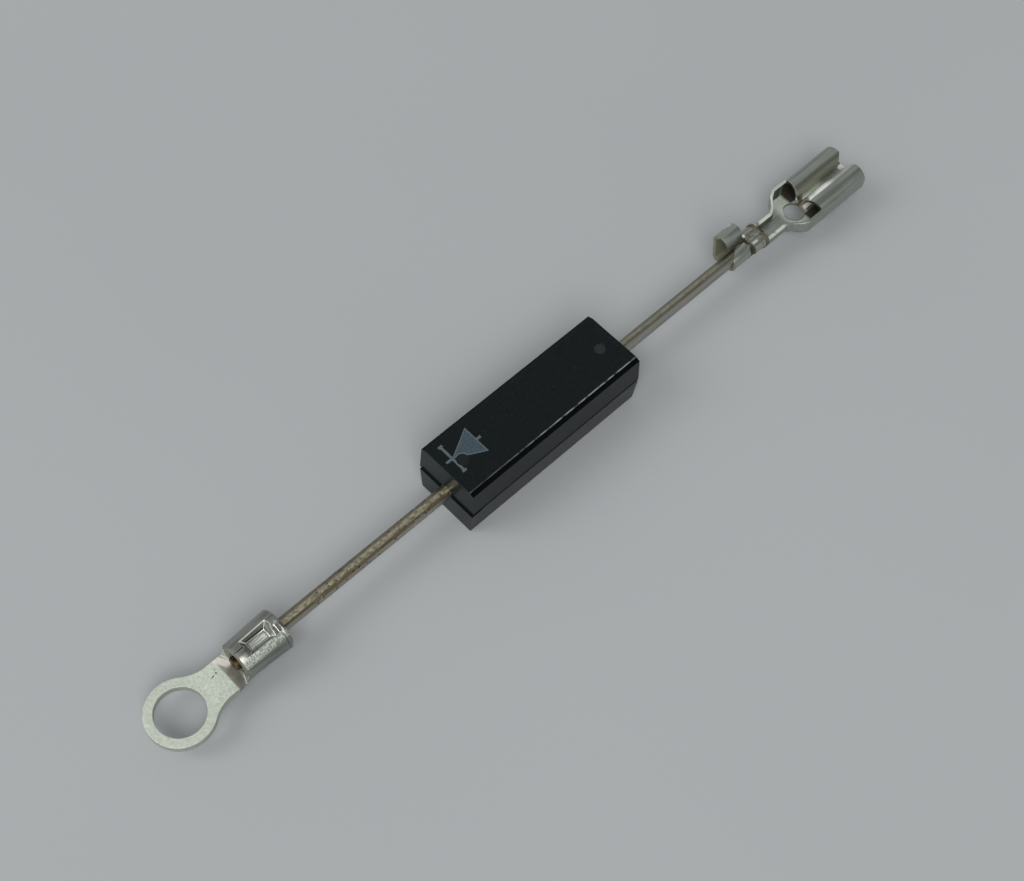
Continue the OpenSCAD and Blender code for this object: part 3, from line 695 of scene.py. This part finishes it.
def receptacle_finish(s, cut_name, flat_name, rim_name, curl_name, roll_name):
    """Greenish tin plate: long rolling stripes, bare brass at sheared edges and brown crimp spots, with
    painted highlights on the near roll's flank, the curl, the crimp, the lip and the rims, and painted shade
    in the hollows under the rolls, on the far roll's flank and at the peep hole's edge.
    """
    f = Finish("receptacle_tin_plate")
    cloud = f.noise(0.45, detail=3.0)
    stripes = f.noise(1.9, (0.06, 2.2, 2.2), detail=4.0, shift=2.0)
    grain = f.noise(5.0, detail=3.0, shift=5.0)
    pits = f.dots(2.2, 0.12, shift=1.0) * f.noise(1.1, shift=6.0).ramp(0.5, 0.62)
    flat, rim, inner, in_roll = (f.mark(name) for name in (flat_name, rim_name, curl_name, roll_name))
    front = s.crimp[0] / MM
    crimp_edge = abs(f.x - front).ramp(0.26, 0.12) * f.z.ramp(AXIS_Z / MM, AXIS_Z / MM + 0.3)
    bare = (f.mark(cut_name) + crimp_edge).under(1.0) * (0.4 + 0.6 * f.noise(2.0, shift=5.0).ramp(0.35, 0.6))
    dull = scaled(s.receptacle, 0.62)
    base = f.blend(stripes.ramp(0.42, 0.66) * 0.6 + cloud.ramp(0.4, 0.7) * 0.25, s.receptacle, dull)
    base = f.blend(pits * 0.6, base, s.stain)
    near_crimp = f.away(tuple(c / MM for c in s.crimp)).ramp(4.2, 1.2)
    spots = f.noise(1.3, detail=3.0, shift=21.0).ramp(0.52, 0.66) * near_crimp
    base = f.blend(spots * 0.75, base, s.stain)
    # Painted shade: the far roll's flank towards the seam is darkened to olive
    far_roll_shade = f.y.ramp(1.3, 0.9) * f.y.ramp(0.1, 0.4) * f.x.ramp(front + 6.0, front + 7.0)
    base = f.blend(far_roll_shade * 0.6, base, s.olive)
    rear_edge = f.blend(f.x.ramp(front - 3.5, front - 2.5), scaled(s.olive, 0.4), s.olive)
    base = f.blend(bare * 0.9, base, f.blend(f.x.ramp(front - 1.0, front - 0.5), rear_edge, s.brass))

    socket_x = s.socket[0] / MM
    open_floor = f.x.ramp(front + 4.0, front + 5.0) * f.x.ramp(socket_x, socket_x - 0.4)
    lip = f.x.ramp(s.socket[1] / MM - 0.1, s.socket[1] / MM)
    # Pale flats of the open floor and lip, and painted highlights on the neck's ridges and the flare's rims
    neck = rim * f.x.ramp(front + 3.6, front + 2.8)
    flare = rim * f.y.ramp(0.0, 0.5) * 0.7
    pale = (flat * open_floor.over(lip)).over(neck).over(flare) * (1.0 - spots)
    base = f.blend(pale * 0.9, base, s.ring)

    side = abs(f.y)
    past_tips = f.x.ramp(socket_x - 1.2, socket_x - 0.6)
    # Painted highlight along the near roll's flank by the seam, fading towards the front
    flank_highlight = f.y.ramp(0.25, 0.05) * f.y.ramp(-1.15, -0.95) * past_tips
    flank_highlight = flank_highlight * (1.0 - in_roll * side.ramp(0.5, 0.7))
    flank_highlight = flank_highlight * (0.35 + 0.65 * f.x.ramp(socket_x + 3.6, socket_x + 2.0))
    flank_highlight = flank_highlight * (0.75 + 0.25 * f.noise(0.9, (0.4, 1, 1), shift=17.0).ramp(0.4, 0.5))
    # Painted highlights: the curl's top, a glint on the crimp, the far roll's tip, a stripe on the crimp's
    # crown and the lip
    curl_highlight = f.away(CURL_HIGHLIGHT).ramp(0.75, 0.35) * (1.0 - inner)
    painted_highlights = flank_highlight.over(curl_highlight).over(f.away(CRIMP_GLINT).ramp(0.28, 0.12)).over(
        f.away(ROLL_TIP).ramp(0.6, 0.35))
    # Painted highlight: a stripe on the crimp's crown
    crown_x, crown_y = CRIMP_CROWN
    crown = abs(f.y - crown_y).ramp(0.2, 0.06) * abs(f.x - crown_x).ramp(0.5, 0.2) * f.z.ramp(3.6, 3.8)
    painted_highlights = painted_highlights.over(crown * 0.6).over(flat * lip)
    base = f.blend(painted_highlights, base, s.burnish_and_highlight)

    # Painted shade, with some dirt, in the hollows under the rolls' rear ends
    shade_and_grime = in_roll * side.ramp(0.7, 1.0) * f.x.ramp(socket_x - 1.3, socket_x - 0.6)
    base = f.blend(shade_and_grime, base, s.shade_and_grime)
    base = f.blend(inner * 0.8, base, s.olive)
    # Painted shade along the peep hole's near edge
    hole_edge_shade = f.reach(f.x - PEEP_HOLE[0], f.y - PEEP_HOLE[1]).ramp(1.3, 1.15) * f.y.ramp(0.5, 0.1)
    base = f.blend(hole_edge_shade * 0.8, base, s.stain)

    rough = 0.24 + stripes * 0.14 + grain * 0.08 + spots * 0.2 + bare * 0.15 + pale * 0.12 + shade_and_grime * 0.3
    metal = 1.0 - pale * 0.4 - painted_highlights * 0.7 - shade_and_grime * 0.8 - inner * 0.6
    bumps = f.bump(stripes + grain * 0.25 - pits * 0.5, 0.018)
    return f.surface(Base_Color=base, Roughness=rough, Metallic=metal, Normal=bumps)


def silicon_finish():
    """Soldered silicon dice, which stay hidden inside the block."""
    f = Finish("soldered_silicon")
    grain = f.noise(4.0, detail=3.0)
    base = f.blend(grain.ramp(0.3, 0.7), (0.12, 0.125, 0.135), (0.26, 0.265, 0.27))
    return f.surface(Base_Color=base, Roughness=0.3 + grain * 0.3, Metallic=0.6, Normal=f.bump(grain, 0.01))


def floor_finish(s):
    """A plain pale table top."""
    f = Finish("pale_floor")
    cloud = f.noise(0.012)
    base = f.blend(cloud.ramp(0.3, 0.7), scaled(s.floor, 0.985), scaled(s.floor, 1.015))
    return f.surface(Base_Color=base, Roughness=0.5, Specular_IOR_Level=0.3)


class DIODE_OT_moulding(bpy.types.Operator):
    """Dress the moulded block with rounded edges, epoxy skin and polarity mark"""
    bl_idname = "diode.moulding"
    bl_label = "Dress Moulding"

    def execute(self, context):
        s = context.scene.diode_moulding
        piece = welded_copy("body_moulding", "moulded_block")
        bore = CATHODE_HIGH.z - AXIS_Z + 0.2 * MM

        def outside(p):
            return math.hypot(p.y, p.z - AXIS_Z) > bore

        def at_parting(p):
            return outside(p) and abs(p.z - AXIS_Z) < s.ledge_edge

        def near_ledge(p):
            return abs(p.z - AXIS_Z) < WELD and abs(p.y - BODY_LOW.y - s.ledge) < 0.02 * MM

        shift_points(piece, (0.0, s.ledge_left - s.ledge, 0.0), near_ledge)
        round_edges(piece, s.edge, 3, 12, lambda p: outside(p) and not at_parting(p))
        round_edges(piece, s.ledge_edge, 2, 12, at_parting)
        finish_piece(piece, epoxy_finish(s), 40)
        return {"FINISHED"}


class DIODE_OT_leads(bpy.types.Operator):
    """Dress the two tinned leads"""
    bl_idname = "diode.leads"
    bl_label = "Dress Leads"

    def execute(self, context):
        s = context.scene.diode_leads
        for node, tin, end_x, wear, crown in (
                ("cathode_lead", s.cathode, CATHODE_LOW.x, 1.0, (-0.1, 0.18)),
                ("anode_lead", s.anode, ANODE_HIGH.x, 0.3, (0.06, 0.1))):
            piece = welded_copy(node, node.replace("lead", "wire"))
            material = lead_finish(node + "_tin", tuple(tin), s, end_x, wear, crown)
            finish_piece(piece, material, 50)
        return {"FINISHED"}


class DIODE_OT_ring_terminal(bpy.types.Operator):
    """Dress the ring terminal with rolled-over edges and worn tin plate"""
    bl_idname = "diode.ring_terminal"
    bl_label = "Dress Ring Terminal"

    def execute(self, context):
        s = context.scene.diode_plate
        piece = welded_copy("ring_terminal", "crimped_ring")
        barrel_x = RING_HIGH.x - s.barrel
        scoop_x = barrel_x - s.scoop

        def pressed(p):
            inside = barrel_x + s.pocket_from < p.x < RING_HIGH.x - s.pocket_to
            return inside and p.z > AXIS_Z + s.pocket_floor

        def sunk(p):
            skin = s.pocket_rim + (p.x - barrel_x) * s.barrel_swell / s.barrel
            return math.hypot(p.y, p.z - AXIS_Z) < skin

        press_panel(piece, s.panel_margin, s.panel_deep,
                    lambda face: pressed(face.calc_center_median()) and face.normal.z > 0.98
                    and face.calc_area() > s.panel_face)
        round_edges(piece, s.ring_edge, 3, 45, lambda p: p.x < scoop_x)
        round_edges(piece, s.pocket_edge, 2, 30, pressed)
        round_edges(piece, s.sheet_edge, 2, 30, lambda p: p.x > barrel_x - s.scoop / 2 and not pressed(p))
        mark_faces(piece, "cut_edge", lambda face: abs(face.normal.z) < 0.8 and face.center.x < scoop_x)
        mark_faces(piece, "pressed_edge", lambda face: pressed(face.center) and sunk(face.center)
                   and face.area < s.pocket_face)
        mark_faces(piece, "pocket_floor", lambda face: pressed(face.center) and sunk(face.center)
                   and face.area >= s.pocket_face and face.normal.z > 0.98)
        finish = ring_finish(s, "cut_edge", "pressed_edge", "pocket_floor")
        finish_piece(piece, finish, 38)
        return {"FINISHED"}


class DIODE_OT_receptacle(bpy.types.Operator):
    """Dress the tab receptacle with worn tin plate and bare sheared edges"""
    bl_idname = "diode.receptacle"
    bl_label = "Dress Receptacle"

    def execute(self, context):
        s = context.scene.diode_plate
        piece = welded_copy("tab_receptacle", "rolled_receptacle")
        floor_top = AXIS_Z - 0.5 * MM
        curl = Vector(s.curl)
        roll = Vector(s.roll)
        rolls = (roll, roll * Vector((1.0, -1.0, 1.0)))

        def on_rim(face):
            formed = s.crimp[0] + 0.2 * MM < face.center.x < s.socket[0]
            return formed and face.normal.z > 0.6 and face.center.z > floor_top

        def turned_to(face, line):
            inward = line - face.center
            inward.x = 0.0
            return face.center.y * line.y > 0.0 and face.normal.dot(inward) > 0.0

        def in_curl(face):
            return face.center.x < s.crimp[0] - 2 * MM and turned_to(face, curl)

        def in_roll(face):
            past_neck = face.center.x > s.socket[0] - 2 * MM
            return past_neck and any(turned_to(face, line) for line in rolls)

        def at_tip(p, side):
            inside = s.socket[0] - 2 * MM < p.x < s.socket[1] + WELD and 0.0 < p.y * side < s.roll_tip[0]
            return inside and abs(p.z - s.roll_tip[1]) < 0.02 * MM

        for side in (-1.0, 1.0):
            shift_points(piece, (0.0, -side * s.roll_close, 0.0), lambda p: at_tip(p, side))
        mark_faces(piece, "cut_edge", lambda face: abs(face.normal.x) > 0.9)
        round_edges(piece, s.sheet_edge, 2, 40, lambda p: not s.plain[0] <= p.x <= s.plain[1])
        mark_faces(piece, "flat_top", lambda face: face.normal.z > 0.97 and face.center.z < floor_top)
        mark_faces(piece, "top_rim", on_rim)
        mark_faces(piece, "in_curl", in_curl)
        mark_faces(piece, "in_roll", in_roll)
        finish = receptacle_finish(s, "cut_edge", "flat_top", "top_rim", "in_curl", "in_roll")
        finish_piece(piece, finish, 38)
        return {"FINISHED"}


class DIODE_OT_silicon(bpy.types.Operator):
    """Give the silicon stack inside the block its finish"""
    bl_idname = "diode.silicon"
    bl_label = "Finish Silicon Stack"

    def execute(self, context):
        frame["nodes"]["silicon_stack"].material_slots[0].material = silicon_finish()
        return {"FINISHED"}


def add_softbox(name, location, size, power):
    """A square area light that looks at the origin."""
    bpy.ops.object.light_add(type="AREA", location=location)
    lamp = bpy.context.object
    lamp.name = name
    lamp.data.size = size
    lamp.data.energy = power
    lamp.rotation_euler = (-Vector(location)).to_track_quat("-Z", "Y").to_euler()


def light_room(s):
    """Soft light from all round, dimmer near the horizon and in one patch overhead."""
    world = bpy.data.worlds.new("soft_room")
    bpy.context.scene.world = world
    world.use_nodes = True
    n = Nodes(world.node_tree)
    way = n.node("ShaderNodeTexCoord", out="Generated")
    height = n.node("ShaderNodeSeparateXYZ", sockets={"Vector": way}, out="Z")
    facing = n.node("ShaderNodeVectorMath", {"operation": "DOT_PRODUCT"},
                    {0: way, 1: Vector(s.shade_way).normalized()}, out="Value")
    light = n.blend(height.ramp(0.0, 0.5), s.horizon, s.room)
    light = n.blend(facing.ramp(0.88, 0.96), light, s.shade)
    background = n.node("ShaderNodeBackground", sockets={"Color": light})
    n.node("ShaderNodeOutputWorld", sockets={"Surface": background})


class DIODE_OT_stage(bpy.types.Operator):
    """Set the floor, the soft light and the camera"""
    bl_idname = "diode.stage"
    bl_label = "Set Stage"

    def execute(self, context):
        s = context.scene.diode_stage
        bpy.ops.object.select_all(action="DESELECT")
        bpy.ops.mesh.primitive_plane_add(size=s.floor_size, location=(0.0, 0.0, BODY_LOW.z))
        floor = context.object
        floor.name = "pale_floor"
        floor.data.materials.append(floor_finish(s))

        light_room(s)
        add_softbox("key_softbox", s.key, s.lamp_size, s.key_power)
        add_softbox("fill_softbox", s.fill, s.lamp_size, s.fill_power)

        a, e, roll = s.azimuth, s.elevation, s.roll
        back = Vector((math.sin(a) * math.cos(e), -math.cos(a) * math.cos(e), math.sin(e)))
        right = Vector((0.0, 0.0, 1.0)).cross(back).normalized()
        up = back.cross(right)
        across = right * math.cos(roll) + up * math.sin(roll)
        upward = up * math.cos(roll) - right * math.sin(roll)
        place = Matrix((across, upward, back)).transposed().to_4x4()
        place.translation = Vector(s.target) + back * s.distance
        bpy.ops.object.camera_add()
        camera = context.object
        camera.matrix_world = place
        camera.data.lens = s.lens
        camera.data.clip_start = MM
        context.scene.camera = camera
        context.scene.view_settings.view_transform = "Standard"
        return {"FINISHED"}


class DIODE_PT_sidebar(bpy.types.Panel):
    """Lists the steps that dress the diode"""
    bl_label = "High-Voltage Diode"
    bl_space_type = "VIEW_3D"
    bl_region_type = "UI"
    bl_category = "Diode"

    def draw(self, context):
        for step in STEPS:
            self.layout.operator(step.bl_idname)


SETTINGS = {
    "diode_moulding": MouldingSettings,
    "diode_leads": LeadSettings,
    "diode_plate": PlateSettings,
    "diode_stage": StageSettings,
}
STEPS = (DIODE_OT_moulding, DIODE_OT_leads, DIODE_OT_ring_terminal, DIODE_OT_receptacle, DIODE_OT_silicon,
         DIODE_OT_stage)
CLASSES = (*SETTINGS.values(), *STEPS, DIODE_PT_sidebar)


def register():
    for item in CLASSES:
        bpy.utils.register_class(item)
    for name, group in SETTINGS.items():
        setattr(bpy.types.Scene, name, PointerProperty(type=group))


def unregister():
    for name in SETTINGS:
        delattr(bpy.types.Scene, name)
    for item in reversed(CLASSES):
        bpy.utils.unregister_class(item)


def main():
    register()
    bpy.ops.diode.moulding()
    bpy.ops.diode.leads()
    bpy.ops.diode.ring_terminal()
    bpy.ops.diode.receptacle()
    bpy.ops.diode.silicon()
    bpy.ops.diode.stage()


if __name__ == "__main__":
    main()
